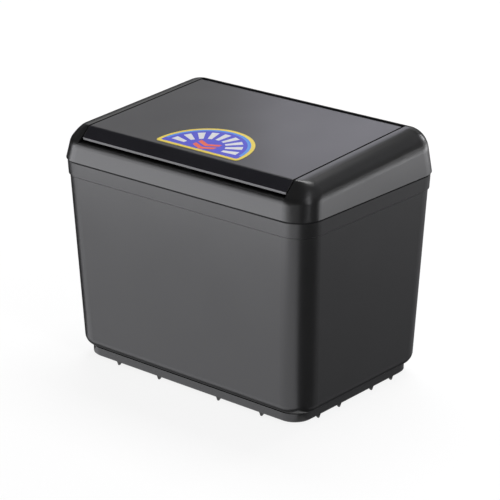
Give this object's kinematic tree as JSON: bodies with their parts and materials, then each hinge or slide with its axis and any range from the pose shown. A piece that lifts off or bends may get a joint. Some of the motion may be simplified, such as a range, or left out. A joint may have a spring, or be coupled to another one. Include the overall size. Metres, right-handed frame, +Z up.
{
  "type": "car trash bin",
  "caption": "Floor-standing tapered car trash bin with a press-to-open sprung lid in a clip-on top frame, a ballast plate under its floor and a spiked base that grips carpet.",
  "frame": {"origin": "centre of the bin at the level of the spike tips, where it stands on the floor", "axes": "+X to the bin's right along its width, +Y from the front lip to the rear hinge, +Z up"},
  "size_m": [0.2422, 0.1654, 0.197],
  "materials": {
    "bin_plastic": "satin black moulding, fine grain",
    "frame_plastic": "satin black moulding",
    "lid_plastic": "satin black moulding, smooth",
    "base_plastic": "satin black moulding",
    "latch_plastic": "dark grey slick moulding",
    "plunger_plastic": "pale acetal moulding",
    "ballast_steel": "zinc-plated sheet",
    "spring_steel": "bright drawn wire",
    "screw_steel": "zinc-plated",
    "sticker_film": "printed film, satin"
  },
  "bodies": {
    "bin": {"bin_body": "bin_plastic", "spike_base": "base_plastic", "ballast_plate": "ballast_steel", "base_screws": "screw_steel", "top_frame": "frame_plastic", "hinge_pin_left": "spring_steel", "hinge_pin_right": "spring_steel", "lid_spring_left": "spring_steel", "lid_spring_right": "spring_steel", "latch_housing": "latch_plastic", "latch_spring": "spring_steel", "latch_follower": "spring_steel", "latch_screws": "screw_steel"},
    "lid": {"lid": "lid_plastic", "lid_strike": "latch_plastic", "push_label": "sticker_film"},
    "latch": {"latch_plunger": "plunger_plastic"}
  },
  "joints": [
    {"name": "lid_hinge", "type": "hinge", "parent": "bin", "child": "lid", "pos_m": [0, 0.0598, 0.19231], "axis": [-1, 0, 0], "range_deg": [0, 85], "deforming": ["lid_spring_left", "lid_spring_right"]},
    {"name": "latch_slide", "type": "slide", "parent": "bin", "child": "latch", "axis": [0, 0, 1], "range_m": [-0.002, 0], "stiffness_N_per_m": 150, "springref_m": 0.008, "deforming": ["latch_spring"]}
  ]
}
